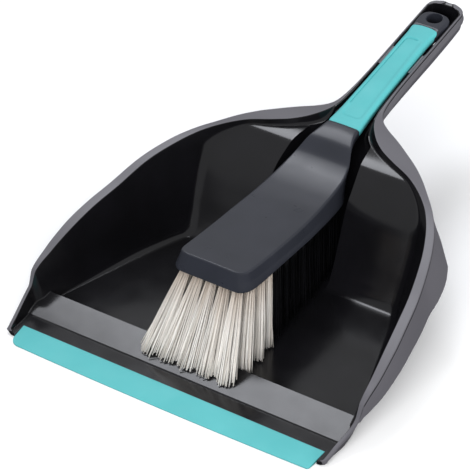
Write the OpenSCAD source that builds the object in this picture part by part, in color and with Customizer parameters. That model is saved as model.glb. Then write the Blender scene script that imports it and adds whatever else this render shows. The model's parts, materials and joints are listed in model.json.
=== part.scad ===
// Dustpan and brush set. The brush lies clipped in the pan's handle trough and lifts straight out.
// Millimetres. Z is up, X runs along the lip, Y runs from the lip to the end of the handle, and the
// origin is on the ground below the middle of the whole set.

/* [Pan] */
// Width over the rim at its widest
pan_w = 246; // [240:1:250]
// Thickness of the moulded walls
wall = 2.2; // [2:0.1:2.4]
// Height of the ramp's crest above the ground
crest_h = 8.8; // [7:0.1:9]
// Lean of the inner walls, in mm outwards for each mm of height
draft = 0.28; // [0.24:0.01:0.3]
// Fillet between the floor and the walls
fillet = 6; // [4:0.5:7]

/* [Lip] */
// Length of the soft lip in front of the pan
lip_len = 18; // [12:1:18]
// Thickness of the lip at its back edge
lip_t = 2.4; // [2.2:0.1:2.6]
// Corner radius at the lip's left end
lip_r_left = 7; // [3:0.5:8]
// Corner radius at the lip's right end
lip_r_right = 2; // [1:0.5:8]

/* [Handle and hang holes] */
// Depth of the trough that holds the brush handle
trough_depth = 14.5; // [14.5:0.5:18]
// Radius of the hang hole in the pan and in the brush
hang_r = 5.2; // [4:0.1:5.4]

/* [Brush] */
// Tufts across the head, one fewer in the front row
columns = 6; // [5:1:6]
// Radius of a tuft's hole
bore_r = 2.4; // [2:0.1:2.4]
// Depth of a tuft's hole
bore_depth = 8; // [7.6:0.1:8]
// Thickness of the soft grip over the handle
grip_t = 1.6; // [1.2:0.1:1.8]
// How far the front row of tufts sweeps forward at its tips
sweep = 28; // [20:1:28]
// Outward splay of the front row, as a share of a tuft's distance from the middle
splay = 0.48; // [0.3:0.01:0.5]

/* [Hidden] */
CREAM_ROWS = 4;
BLACK_ROWS = 9;

CHARCOAL = [0.2, 0.2, 0.22];
TURQUOISE = [0.3, 0.8, 0.78];
CREAM = [0.88, 0.86, 0.8];
BLACK = [0.07, 0.07, 0.08];
STEEL = [0.75, 0.76, 0.78];
tiny = 0.3;

// Below, y is counted from the back edge of the lip. set_down() moves it to the set's own origin.
lip_bow = 1.5;
pan_front = -10;
pan_end = 340;
mid_y = (pan_end - lip_len - lip_bow / 2) / 2;
module set_down() translate([0, -mid_y, 0]) children();

// A smooth curve through [y, value] pairs that never swings past them.
function span(t, y, i = 0) = i >= len(t) - 2 || y < t[i + 1][0] ? i : span(t, y, i + 1);
function rise(t, i) = (t[i + 1][1] - t[i][1]) / (t[i + 1][0] - t[i][0]);
function tangent(t, i) =
    i == 0 ? rise(t, 0)
    : i == len(t) - 1 ? rise(t, i - 1)
    : rise(t, i - 1) * rise(t, i) <= 0 ? 0
    : 2 * rise(t, i - 1) * rise(t, i) / (rise(t, i - 1) + rise(t, i));
function along(t, y) =
    let (i = span(t, y), h = t[i + 1][0] - t[i][0], s = min(1, max(0, (y - t[i][0]) / h)))
    (2 * s ^ 3 - 3 * s ^ 2 + 1) * t[i][1] + (s ^ 3 - 2 * s ^ 2 + s) * h * tangent(t, i)
    + (3 * s ^ 2 - 2 * s ^ 3) * t[i + 1][1] + (s ^ 3 - s ^ 2) * h * tangent(t, i + 1);
function stretch(t, y) = let (m = along(t, y + 0.5) - along(t, y - 0.5)) sqrt(1 + m ^ 2);

// Pan outline: half-widths of the rim's inner and outer edge, and the rim's height.
rim_in = [[-10, 113], [-8, 115], [0, 116.3], [20, 119.4], [40, 117.8], [60, 115.2], [80, 112.1],
          [100, 108.2], [125, 101.8], [145, 93.8], [160, 85], [170, 75.8], [180, 61.5], [187, 45],
          [193, 33.5], [201, 24.3], [212, 16.7], [217, 14.9], [225, 13.6], [240, 12.8], [270, 12.4],
          [331, 12.3], [335, 9.6], [337, 4.5], [340, 2.5]];
rim_out = [[-10, 115], [-8, 117], [0, 118.7], [20, 121.8], [28, 122.8], [40, 123], [60, 121.8],
           [80, 118.8], [100, 114.8], [125, 108], [145, 100], [160, 91], [175, 78], [190, 62],
           [200, 48], [208, 35.8], [213, 27], [217, 21.4], [221, 17.9], [226, 16], [235, 14.7],
           [250, 13.9], [270, 13.6], [331, 13.5], [335, 12.8], [338, 10], [340, 5]];
rim_z = [[-10, 3.2], [0, 7.6], [20, 16.8], [25, 26.2], [40, 33], [60, 40.9], [80, 47], [100, 51.6],
         [125, 60], [150, 66.6], [170, 72.4], [187, 78.4], [200, 81.3], [225, 85.4], [331, 102.8],
         [340, 104.3]];
// How far the rim's outer edge lies below its inner edge where the rim widens into the shoulders.
rim_drop = [[150, 0], [165, 0.7], [181, 2.1], [190, 2.6], [208, 2.5], [216, 1.8], [226, 0.3], [235, 0]];
// Skirt that hangs from the rim's outer edge: its height and how far it flares.
skirt_h = [[-10, 0.8], [19, 0.8], [23, 7], [27, 9.6], [60, 15], [115, 21], [140, 22], [148, 21.5],
           [151, 18], [155, 10], [158, 5.4], [162, 3.8], [222, 3.8], [232, 6], [340, 5.6]];
skirt_flare = [[-10, 0.15], [20, 0.2], [27, 1.6], [60, 4], [108, 5.2], [124, 8.4], [140, 10],
               [148, 9.8], [151, 7.8], [155, 4.4], [158, 1.7], [162, 0.5], [215, 0.4], [232, 1.8],
               [325, 1.8], [340, 0.5]];
// Inner floor: apron, ramp and crest, flat floor, then the back wall on both sides of the recess.
floor_t = wall + 0.2;
apron = [[-10, floor_t], [10.2, floor_t], [10.7, 3.2], [30.8, crest_h], [32.8, floor_t + 0.3],
         [36, floor_t]];
side_floor = concat(apron, [[134, floor_t], [139, 5], [144, 13.5], [150, 29], [161, 56], [163, 58.5],
                            [172, 66.5], [184, 77], [200, 90], [340, 200]]);
// The middle recess takes the brush head and runs on as the handle's trough.
mid_floor = concat(apron, [[158, floor_t], [165, 6], [172, 16], [180, 36], [188, 54], [196, 62],
                           [206, 82.3 - trough_depth], [331, 102.8 - trough_depth],
                           [334, 105.6 - trough_depth], [336, 96], [337, 103], [340, 104]]);
recess_w = [[-10, 28.5], [161, 28.5], [180, 26], [196, 23.5], [206, 22], [340, 22]];
recess_corner = [[150, 6], [180, 5], [215, 2.6], [340, 2.6]];
// The floor meets the walls almost sharply beside the ramp and in a full fillet farther back.
fillet_share = [[-10, 0.12], [33, 0.14], [60, 0.45], [110, 1], [340, 1]];

widen = pan_w / 246;
function blend_w(y) = 1 + (widen - 1) * min(1, max(0, (205 - y) / 60));
function below(t, y) =
    let (m = along(t, y + 0.5) - along(t, y - 0.5), c = 1 / sqrt(1 + m ^ 2))
    max(0, along(t, y - wall * m * c) - floor_t * c);
function arch(f, n) = 1 - (1 - f ^ n) ^ (1 / n);
RECESS_STEPS = [0, 0.5, 0.8, 0.92, 0.98, 1];

// The apron is flat between its bends; behind it the floor follows a smooth curve.
function ground(t, y) = y < 36 ? lookup(y, t) : along(t, y);
function shore_z(y) = min(ground(side_floor, y), along(rim_z, y) - tiny);
function deep_z(y) = min(ground(mid_floor, y), shore_z(y));
function foot_fillet(y) = min(fillet * along(fillet_share, y), 0.42 * (along(rim_z, y) - shore_z(y)));
function foot_x(y) = along(rim_in, y) * blend_w(y) - draft * (along(rim_z, y) - shore_z(y));
function recess_half(y) = min(along(recess_w, y), foot_x(y) - foot_fillet(y) - tiny);
function inner_z(x, y) =
    deep_z(y) + (shore_z(y) - deep_z(y)) * arch(min(1, abs(x) / recess_half(y)), along(recess_corner, y));

// Half of a cross-section, from the middle of the inner face out over the rim and back underneath.
function pan_half(y) =
    let (k = blend_w(y), xi = along(rim_in, y) * k, xo = max(xi + 1.1, along(rim_out, y) * k),
         z = along(rim_z, y), zo = z - along(rim_drop, y), side = shore_z(y), mid = deep_z(y),
         f = foot_fillet(y), foot = foot_x(y), w = recess_half(y), n = along(recess_corner, y),
         wx = wall * stretch(rim_in, y), wo = wall * stretch(rim_out, y),
         skirt_z = zo - along(skirt_h, y), pin = xi + wx + 0.1, pout = max(pin + 0.05, xo - wo),
         skirt_x = max(pin + 0.5, xo + along(skirt_flare, y) * stretch(rim_out, y)),
         hollow = max(0.15, min(zo - floor_t - skirt_z, 8 * (pout - pin))),
         roof = skirt_z + hollow + (hollow > 0.2 ? 0.6 * (z - zo) : 0),
         top6 = [foot + draft * f, side + f], out6 = [top6.x + wx, min(top6.y, roof - 0.4)],
         w_out = w + wall * stretch(recess_w, y),
         out4 = [max(foot - f, w_out + 0.2), min(below(side_floor, y), out6.y - 0.4)],
         mid_out = min(below(mid_floor, y), out4.y))
    concat(
        [for (s = RECESS_STEPS) [s * w, mid + (side - mid) * arch(s, n)]],
        [[foot - f, side], [foot - 0.25 * f, side + 0.28 * f], top6, [xi, z], [xo, zo]],
        [[skirt_x, skirt_z], [max(pin + 0.1, skirt_x - wo), skirt_z + 0.05]],
        [[pout, skirt_z + hollow], [pin, roof], out6],
        [[0.3 * out4.x + 0.7 * out6.x, 0.75 * out4.y + 0.25 * out6.y], out4],
        [for (i = [5:-1:0])
            [RECESS_STEPS[i] * w_out, mid_out + (out4.y - mid_out) * arch(RECESS_STEPS[i], n)]]);

pan_stations = concat(
    [-10, -9, -7, -4, 0, 5, 10.2, 10.7, 16, 19, 21, 22.5, 24, 26, 28, 30.8, 31.8, 32.8, 36],
    [for (y = [44:9:125]) y], [130, 134, 137, 140, 143, 146, 148, 150, 152, 154, 156, 158, 161],
    [for (y = [163.5:2.5:201]) y], [204, 207, 210, 213, 216, 219, 222, 226, 231],
    [for (y = [239:11:327]) y],
    [331, 333, 334.5, 336, 337, 338, 339, 340]);

// Joins closed rings, given as half outlines, into one solid. Caps run as a strip between two edges.
function mirror_ring(h) = concat(h, [for (i = [len(h) - 2:-1:1]) [-h[i].x, h[i].y]]);
function skin(count, rings) = [for (i = [0:rings - 2]) for (j = [0:count - 1])
    let (a = i * count + j, b = i * count + (j + 1) % count)
    each [[a, a + count, b], [b, a + count, b + count]]];
function other(k, half, count) = k == 0 || k == half ? k : count - k;
function cap(half, count, from, flip) = [for (k = [0:floor(half / 2) - 1]) each let (
    quads = [[k, k + 1, half - k - 1, half - k],
             [other(k + 1, half, count), other(k, half, count), other(half - k, half, count),
              other(half - k - 1, half, count)]])
    [for (q = quads) each let (p = [for (i = q) i + from])
        flip ? [[p[0], p[2], p[1]], [p[0], p[3], p[2]]] : [[p[0], p[1], p[2]], [p[0], p[2], p[3]]]]];
module loft(halves, ys, lean = 0) {
    half = len(halves[0]) - 1;
    count = 2 * half;
    points = [for (i = [0:len(ys) - 1]) for (p = mirror_ring(halves[i]))
        [p.x, ys[i] + (lean == 0 ? 0 : lean[i] * (p.y - HEAD_TOP)), p.y]];
    faces = concat(skin(count, len(ys)), cap(half, count, 0, false),
                   cap(half, count, (len(ys) - 1) * count, true));
    keep = [for (f = faces) if (points[f[0]] != points[f[1]] && points[f[1]] != points[f[2]]
                                && points[f[0]] != points[f[2]]) f];
    polyhedron(points, keep);
}

// Height of the pan's inner face where a tuft of radius r stands.
function standing(x, y, r) =
    max([for (d = [-r, 0, r, max(-r, min(r, 30.8 - y))]) inner_z(abs(x) + r, y + d)]);

HANG_Y = 319;
HANDLE_TILT = 9.4;
module along_hang_axis(x, y, z) translate([x, y, z]) rotate([HANDLE_TILT, 0, 0]) children();

// The lip's seat in the pan, and the tongue that holds it.
seat_w = 111.4;
tongue_len = 7;
tongue_t = 0.8;
tongue_z = 0.7;

// Small stops that keep the brush handle in the trough. Each grows out of the trough's wall.
module lug(side) {
    lug_len = 20;
    lug_y = 275.5;
    from = along(top_w, lug_y) + 0.45;
    to = along(rim_in, lug_y) + 0.5;
    translate([side * (from + to) / 2, lug_y, along(rim_z, lug_y) - 2.9])
        rotate([HANDLE_TILT, 0, 0]) cube([to - from, lug_len, 4.8], center = true);
}

module pan_body() color(CHARCOAL) set_down() {
    trough_z = along(mid_floor, HANG_Y);
    difference() {
        union() {
            difference() {
                loft([for (y = pan_stations) pan_half(y)], pan_stations);
                translate([-seat_w, pan_front - 1, -1]) cube([2 * seat_w, -pan_front + 1, 9]);
            }
            translate([-seat_w + 1, -tongue_len, tongue_z])
                cube([2 * seat_w - 2, tongue_len + 0.5, tongue_t]);
            for (side = [-1, 1]) lug(side);
            along_hang_axis(0, HANG_Y, trough_z) translate([0, 0, -4.6]) cylinder(h = 4.9, r = 9, $fn = 64);
        }
        along_hang_axis(0, HANG_Y, trough_z) translate([0, 0, -12]) cylinder(h = 24, r = hang_r, $fn = 64);
    }
}

// Plan of the lip: straight back edge, slightly bowed front edge, rounded ends.
function corner(x, y, r, from) = [for (a = [0:15:90]) [x + r * cos(from + a), y + r * sin(from + a)]];
function bow(x) = -lip_len + lip_bow / 2 - lip_bow * (1 - (x / seat_w) ^ 2);
module lip_plan() polygon(concat(
    [[seat_w, 0], [-seat_w, 0]],
    corner(-seat_w + 1 + lip_r_left, bow(-seat_w) + lip_r_left, lip_r_left, 180),
    [for (x = [-90:15:90]) [x, bow(x)]],
    corner(seat_w - 1 - lip_r_right, bow(seat_w) + lip_r_right, lip_r_right, 270)));

module lip_strip() color(TURQUOISE) set_down() difference() {
    intersection() {
        translate([0, 0, -1]) linear_extrude(6) lip_plan();
        translate([-seat_w - 1, 0, 0]) rotate([90, 0, 90]) linear_extrude(2 * seat_w + 2)
            polygon([[0, 0], [0, lip_t], [-lip_len + 1, 1.1], [-lip_len - 1, 0.5], [-lip_len - 2, 0]]);
    }
    translate([-seat_w + 1, -tongue_len, tongue_z])
        cube([2 * seat_w - 2, tongue_len + 1, tongue_t]);
}

// Brush outline: half-widths at the top and bottom edges, and the heights of both faces.
HEAD_TOP = 68.3;
GRIP_FROM = 201;
GRIP_TO = 308;
top_w = [[45.3, 15], [45.8, 18.8], [47, 21.4], [49, 23.2], [52, 24], [60, 24.3], [100, 24.3],
         [140, 23.1], [165, 21.9], [176, 20], [186, 16], [195, 13.4], [203, 12.6], [220, 11.2],
         [253, 10.1], [297, 9.7], [310, 11], [318, 11.5], [321.5, 10.6], [324, 8], [325.5, 3.5]];
bottom_w = [[45.3, 16], [45.8, 21], [47, 24], [49, 26.2], [52, 27.6], [56, 28.3], [62, 28.6],
            [110, 28.6], [140, 27.4], [160, 25.2], [168, 22], [176, 17.2], [186, 13.4], [203, 10.2],
            [253, 8.4], [297, 8], [318, 9.4], [321.5, 8.8], [324, 6.6], [325.5, 3]];
top_z = [[45.3, 68.3], [62, 66.4], [80, 65], [100, 63.9], [127, 63.3], [145, 64], [164, 66.4],
         [176, 70.6], [186, 78.3], [195, 81.4], [203, 82.4], [236, 89], [271, 95.7], [297, 100.3],
         [318, 102.6], [325.5, 103.4]];
function head_z(y) = 55.7 - 0.03 * (y - 42.5);
handle_z = [[166, head_z(166)], [174, 52.6], [182, 58], [190, 66], [197, 69.4], [205, 71.2],
            [271, 83.4], [297, 88.6], [318, 92.2], [325.5, 93.4]];
function bottom_z(y) = y < 166 ? head_z(y) : along(handle_z, y);
top_r = [[45.3, 1.2], [180, 1.6], [205, 3.4], [318, 3], [325.5, 2]];
bottom_r = [[45.3, 1], [168, 1.2], [186, 5], [203, 5.5], [318, 5], [323, 4], [325.5, 2]];
// The front of the head leans outwards towards the bristles.
function front_lean(y) = 0.27 * max(0, 1 - (y - 45.3) / 25);
grip_side = 6;

// Half of a brush section. inset sinks the top and the upper side, to make room for the grip.
function brush_half(y, inset) =
    let (wt = along(top_w, y), wb = along(bottom_w, y), zt = along(top_z, y), zb = bottom_z(y),
         rt = min(along(top_r, y), wt * 0.6), rb = min(along(bottom_r, y), wb * 0.6),
         zs = zt - grip_side, f = (zs - zb) / (zt - zb), xs = wb + (wt - wb) * f,
         x = wt - inset, z = zt - inset, r = max(0.5, rt - inset / 2), crown = 0.25)
    concat(
        [[0, z + crown], [0.55 * (x - r), z + 0.8 * crown], [x - r, z]],
        [for (a = [30:30:90]) [x - r + r * sin(a), z - r + r * cos(a)]],
        [[xs - inset, zs], [xs, zs - 0.05]],
        [for (a = [0:30:90]) [wb - rb + rb * cos(a), zb + rb - rb * sin(a)]],
        [[0.5 * (wb - rb), zb], [0, zb]]);
function sinks(y) = y > GRIP_FROM && y < GRIP_TO ? grip_t + 0.05 : 0;
grip_stations = concat([GRIP_FROM + 0.05, 205], [for (y = [212:12:296]) y], [302, GRIP_TO - 0.05]);
brush_stations = concat(
    [45.3, 45.5, 46, 47, 49, 52, 56, 62, 71], [for (y = [80:12:152]) y], [158, 162, 166, 170, 174, 178, 182],
    [186, 190, 194, 198, GRIP_FROM], grip_stations,
    [GRIP_TO, 313, 318, 320, 322, 323.5, 324.5, 325.2, 325.5]);

first_row_y = 48;
row_pitch = 9.45;
edge_inset = 6.8;
function row_y(row) = first_row_y + (row - 1) * row_pitch;
function tufts(row) = row == 1 ? columns - 1 : columns;
function root_x(row, col) =
    let (y = row_y(row)) (2 * col / (tufts(row) - 1) - 1)
    * (row == 1 ? 18.8 : along(bottom_w, y) - edge_inset);

module brush_body() color(CHARCOAL) set_down() difference() {
    loft([for (y = brush_stations) brush_half(y, sinks(y))], brush_stations,
         [for (y = brush_stations) front_lean(y)]);
    for (row = [1:CREAM_ROWS + BLACK_ROWS]) for (col = [0:tufts(row) - 1])
        translate([root_x(row, col), row_y(row), head_z(row_y(row)) - 2])
            cylinder(h = bore_depth + 2, r = bore_r, $fn = 32);
    along_hang_axis(0, HANG_Y, along(top_z, HANG_Y)) translate([0, 0, -30])
        cylinder(h = 60, r = hang_r, $fn = 64);
}

// The grip is a cap between the handle's full section and its sunk one.
function grip_half(y) = let (o = brush_half(y, 0), i = brush_half(y, grip_t))
    concat([for (k = [0:5]) o[k]], [[o[6].x, o[6].y + 0.05], [i[6].x, i[6].y + 0.05]],
           [for (k = [5:-1:0]) i[k]]);
module grip_pad() color(TURQUOISE) set_down()
    loft([for (y = grip_stations) grip_half(y)], grip_stations);

// A tuft: a root in its hole, and below it a bundle that leans and spreads towards the tips.
root_gap = 0.05;
root_up = 6;
tuft_r = 2.7;
tip_r = [[1, 6.2], [2, 5.6], [4, 5], [6, 4.2], [9, 3.1], [13, 2.8]];
tip_clear = 0.6;
function forward(row) = sweep * 0.74 ^ (row - 1);
function outward(row) = splay * 0.8 ^ (row - 1);
module tuft(row, col) {
    x = root_x(row, col);
    y = row_y(row);
    r = along(tip_r, row);
    tip_y = y - forward(row);
    tip_z = standing(x * (1 + outward(row)), tip_y, r) + tip_clear;
    top = head_z(y) - 0.15;
    h = top - tip_z;
    translate([x, y, top - 0.3]) cylinder(h = root_up + 0.3, r = bore_r - root_gap, $fn = 32);
    translate([x, y, top]) multmatrix([[1, 0, -x * outward(row) / h, 0], [0, 1, forward(row) / h, 0],
                                       [0, 0, 1, 0]])
        translate([0, 0, -h]) cylinder(h = h, r1 = r, r2 = tuft_r, $fn = 32);
}
module tuft_row(row) set_down() for (col = [0:tufts(row) - 1]) tuft(row, col);
module cream_tufts(row) color(CREAM) tuft_row(row);
module black_tufts(row) color(BLACK) tuft_row(row + CREAM_ROWS);

// The flat anchors lie across the holes, over the folded roots.
module tuft_staples() color(STEEL) set_down()
    for (row = [1:CREAM_ROWS + BLACK_ROWS]) for (col = [0:tufts(row) - 1])
        translate([root_x(row, col), row_y(row), head_z(row_y(row)) + root_up + 0.9])
            cube([0.4, 3.8, 1.5], center = true);

pan_body();
lip_strip();
brush_body();
grip_pad();
tuft_staples();
for (row = [1:CREAM_ROWS]) cream_tufts(row);
for (row = [1:BLACK_ROWS]) black_tufts(row);
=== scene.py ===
# %% [markdown]
# # A dustpan with its brush
#
# The set has two bodies: a moulded pan with a soft lip, and a hand brush that lies in the pan's handle.
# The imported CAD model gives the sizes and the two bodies. This lesson builds finer meshes on the same
# shapes, bundles of real filaments for the bristles, and a finish for each material.
#
# The frame is loaded first, because every later piece is placed from it and rides on one of its bodies.

# %% load the frame
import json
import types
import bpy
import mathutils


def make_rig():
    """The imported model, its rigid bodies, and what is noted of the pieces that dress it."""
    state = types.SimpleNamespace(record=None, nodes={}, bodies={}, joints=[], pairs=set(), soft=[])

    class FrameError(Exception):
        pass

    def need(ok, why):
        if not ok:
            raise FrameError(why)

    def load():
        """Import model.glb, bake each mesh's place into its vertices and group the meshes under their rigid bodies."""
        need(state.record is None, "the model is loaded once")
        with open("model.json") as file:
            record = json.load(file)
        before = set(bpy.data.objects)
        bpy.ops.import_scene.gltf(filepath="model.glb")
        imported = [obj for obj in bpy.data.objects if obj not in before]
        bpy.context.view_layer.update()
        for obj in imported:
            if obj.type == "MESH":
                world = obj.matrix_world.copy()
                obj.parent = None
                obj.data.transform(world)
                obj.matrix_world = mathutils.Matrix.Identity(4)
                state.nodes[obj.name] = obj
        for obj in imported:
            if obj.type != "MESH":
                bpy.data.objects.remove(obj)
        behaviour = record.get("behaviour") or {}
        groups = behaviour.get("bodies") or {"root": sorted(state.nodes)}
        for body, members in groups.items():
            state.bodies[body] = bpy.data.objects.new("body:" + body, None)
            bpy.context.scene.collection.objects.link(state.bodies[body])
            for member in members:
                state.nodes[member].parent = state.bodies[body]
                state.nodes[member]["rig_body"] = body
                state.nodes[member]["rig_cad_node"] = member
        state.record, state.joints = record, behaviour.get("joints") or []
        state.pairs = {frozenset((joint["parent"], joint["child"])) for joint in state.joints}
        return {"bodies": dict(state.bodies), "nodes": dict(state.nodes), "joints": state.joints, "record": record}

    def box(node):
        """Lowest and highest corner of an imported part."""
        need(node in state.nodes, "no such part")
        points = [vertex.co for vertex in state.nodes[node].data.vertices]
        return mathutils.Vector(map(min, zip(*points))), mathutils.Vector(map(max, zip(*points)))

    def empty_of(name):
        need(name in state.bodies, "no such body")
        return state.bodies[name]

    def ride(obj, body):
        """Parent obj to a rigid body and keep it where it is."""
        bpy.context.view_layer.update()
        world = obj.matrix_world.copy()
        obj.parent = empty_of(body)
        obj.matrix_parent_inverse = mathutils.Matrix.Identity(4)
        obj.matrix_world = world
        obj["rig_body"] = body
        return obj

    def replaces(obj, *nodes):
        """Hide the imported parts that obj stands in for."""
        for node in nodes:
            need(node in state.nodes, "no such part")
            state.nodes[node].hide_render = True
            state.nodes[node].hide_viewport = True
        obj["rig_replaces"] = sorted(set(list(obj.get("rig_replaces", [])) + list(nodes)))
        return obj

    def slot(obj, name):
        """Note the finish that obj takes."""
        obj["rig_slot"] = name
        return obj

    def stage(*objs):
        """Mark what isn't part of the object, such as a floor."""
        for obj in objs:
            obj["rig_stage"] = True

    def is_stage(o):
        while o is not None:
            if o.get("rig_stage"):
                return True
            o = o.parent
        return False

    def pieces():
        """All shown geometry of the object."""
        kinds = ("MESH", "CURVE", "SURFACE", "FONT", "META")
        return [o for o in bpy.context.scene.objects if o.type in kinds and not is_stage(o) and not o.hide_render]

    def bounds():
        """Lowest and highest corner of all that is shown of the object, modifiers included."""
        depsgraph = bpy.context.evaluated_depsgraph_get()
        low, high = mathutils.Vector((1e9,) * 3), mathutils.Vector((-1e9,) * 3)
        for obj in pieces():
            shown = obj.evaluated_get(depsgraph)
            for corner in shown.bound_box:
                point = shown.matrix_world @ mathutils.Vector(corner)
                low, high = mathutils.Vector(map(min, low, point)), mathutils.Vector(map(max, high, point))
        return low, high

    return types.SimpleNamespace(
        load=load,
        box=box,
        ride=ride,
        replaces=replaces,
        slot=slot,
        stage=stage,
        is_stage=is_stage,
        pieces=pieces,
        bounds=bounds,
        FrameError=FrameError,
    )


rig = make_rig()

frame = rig.load()
cad_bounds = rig.bounds()

import json
import math
import random

import bmesh
import bpy
from mathutils import Matrix, Vector

MM = 0.001
print("CAD nodes:", len(frame["nodes"]), "bodies:", sorted(frame["bodies"]))

# %% [markdown]
# ## Camera
#
# A product picture of this kind is taken from well above the lip, turned a third of the way to the
# right, with a long lens. A long lens keeps the far handle nearly as large as the near lip. The camera
# looks at a point just left of the brush head. It is placed by an angle round the set, an angle above
# the ground and a distance, because those three are easy to change.

# %% camera
AIM = Vector((-24.2, -50.4, 40.0)) * MM
AROUND = math.radians(33.07)
ABOVE = math.radians(36.0)
DISTANCE = 1.6334

camera_data = bpy.data.cameras.new("product_camera")
camera_data.sensor_width = 36
camera_data.lens = 196.7
camera = bpy.data.objects.new("product_camera", camera_data)
bpy.context.scene.collection.objects.link(camera)
towards = Vector((math.sin(AROUND) * math.cos(ABOVE), -math.cos(AROUND) * math.cos(ABOVE), math.sin(ABOVE)))
camera.location = AIM + towards * DISTANCE
camera.rotation_euler = (math.pi / 2 - ABOVE, 0, AROUND)
bpy.context.scene.camera = camera
print("camera at", [round(v, 3) for v in camera.location])

# %% [markdown]
# ## Smooth curves from a few points
#
# Moulded plastic has no straight runs of equal size: the pan's width, its height and its skirt all
# change along the handle's axis. Each is drawn here as a short list of (place along Y, value) pairs
# with a smooth curve through them. The curve never swings past its points, so a rim stays a rim.
#
# Places are in millimetres counted from the back edge of the lip, as a mould maker would dimension it.
# The shift to the set's own origin comes from the frame: the end of the handle is at 340 mm.

# %% curves and the shift to the frame
HANDLE_END = 340.0
SHIFT = HANDLE_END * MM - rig.box("pan_body")[1][1]


def curve(pairs, y):
    i = 0
    while i < len(pairs) - 2 and y >= pairs[i + 1][0]:
        i += 1

    def rise(k):
        return (pairs[k + 1][1] - pairs[k][1]) / (pairs[k + 1][0] - pairs[k][0])

    def tangent(k):
        if k == 0:
            return rise(0)
        if k == len(pairs) - 1:
            return rise(k - 1)
        a, b = rise(k - 1), rise(k)
        return 0 if a * b <= 0 else 2 * a * b / (a + b)

    h = pairs[i + 1][0] - pairs[i][0]
    s = min(1, max(0, (y - pairs[i][0]) / h))
    start = (2 * s ** 3 - 3 * s ** 2 + 1) * pairs[i][1] + (s ** 3 - 2 * s ** 2 + s) * h * tangent(i)
    return start + (3 * s ** 2 - 2 * s ** 3) * pairs[i + 1][1] + (s ** 3 - s ** 2) * h * tangent(i + 1)


def straight(pairs, y):
    for (y0, v0), (y1, v1) in zip(pairs, pairs[1:]):
        if y <= y1:
            return v0 + (v1 - v0) * max(0, (y - y0) / (y1 - y0))
    return pairs[-1][1]


def stretch(pairs, y):
    return math.hypot(1, curve(pairs, y + 0.5) - curve(pairs, y - 0.5))


def ease(a, b, v):
    t = min(1, max(0, (v - a) / (b - a)))
    return t * t * (3 - 2 * t)


def bend(start, corner, end, steps):
    """A rounded corner: points on the curve that leaves start, heads for corner and arrives at end."""
    found = []
    for k in range(steps + 1):
        t = k / steps
        found.append(tuple((1 - t) ** 2 * a + 2 * t * (1 - t) * b + t * t * c
                           for a, b, c in zip(start, corner, end)))
    return found


def steps_between(marks, pitch):
    """Stations through every mark, no further apart than the pitch."""
    found = [marks[0]]
    for a, b in zip(marks, marks[1:]):
        count = max(1, math.ceil((b - a) / pitch - 1e-6))
        found += [a + (b - a) * (k + 1) / count for k in range(count)]
    return found


print("handle end at", round(HANDLE_END * MM - SHIFT, 4), "m in the frame")

# %% [markdown]
# ## From rings to a solid
#
# A loft joins one ring of points to the next. It suits this pan better than a subdivided box, because
# the wall, the rim and the skirt keep an exact section at every place, and the corners can be rounded
# where the mould rounds them. Every ring has the same number of points, so the faces are clean quads.

# %% loft helper
def new_object(name, vertices, faces, material):
    mesh = bpy.data.meshes.new(name)
    mesh.from_pydata([(x * MM, y * MM - SHIFT, z * MM) for x, y, z in vertices], [], faces)
    obj = bpy.data.objects.new(name, mesh)
    bpy.context.scene.collection.objects.link(obj)
    mesh.materials.append(material)
    return obj


def tidy_normals(obj, sharp_degrees=38):
    bm = bmesh.new()
    bm.from_mesh(obj.data)
    bmesh.ops.remove_doubles(bm, verts=bm.verts, dist=0.00001)
    bmesh.ops.recalc_face_normals(bm, faces=bm.faces)
    bm.to_mesh(obj.data)
    bm.free()
    obj.data.polygons.foreach_set("use_smooth", [True] * len(obj.data.polygons))
    obj.data.set_sharp_from_angle(angle=math.radians(sharp_degrees))
    weigh = obj.modifiers.new("large faces stay flat", "WEIGHTED_NORMAL")
    weigh.keep_sharp = True
    bpy.context.view_layer.objects.active = obj
    bpy.ops.object.modifier_apply(modifier=weigh.name)
    obj.data.update()


def loft(rings):
    count = len(rings[0])
    vertices = [p for ring in rings for p in ring]
    faces = []
    for i in range(len(rings) - 1):
        for j in range(count):
            a, b = i * count + j, i * count + (j + 1) % count
            faces.append((a, b, b + count, a + count))
    faces.append(tuple(reversed(range(count))))
    faces.append(tuple(range((len(rings) - 1) * count, len(rings) * count)))
    return vertices, faces


def mirrored(half):
    """A whole ring from its right half, which starts and ends on the middle plane."""
    return half + [(-x, y, z) for x, y, z in half[-2:0:-1]]


def combine(obj, tool, how):
    """Joins or cuts with a second solid, which is used up."""
    tidy_normals(tool)
    bpy.context.view_layer.objects.active = obj
    change = obj.modifiers.new("combine", "BOOLEAN")
    change.operation = how
    change.solver = "EXACT"
    change.object = tool
    bpy.context.view_layer.update()
    bpy.ops.object.modifier_apply(modifier=change.name)
    bpy.data.objects.remove(tool)
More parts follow.
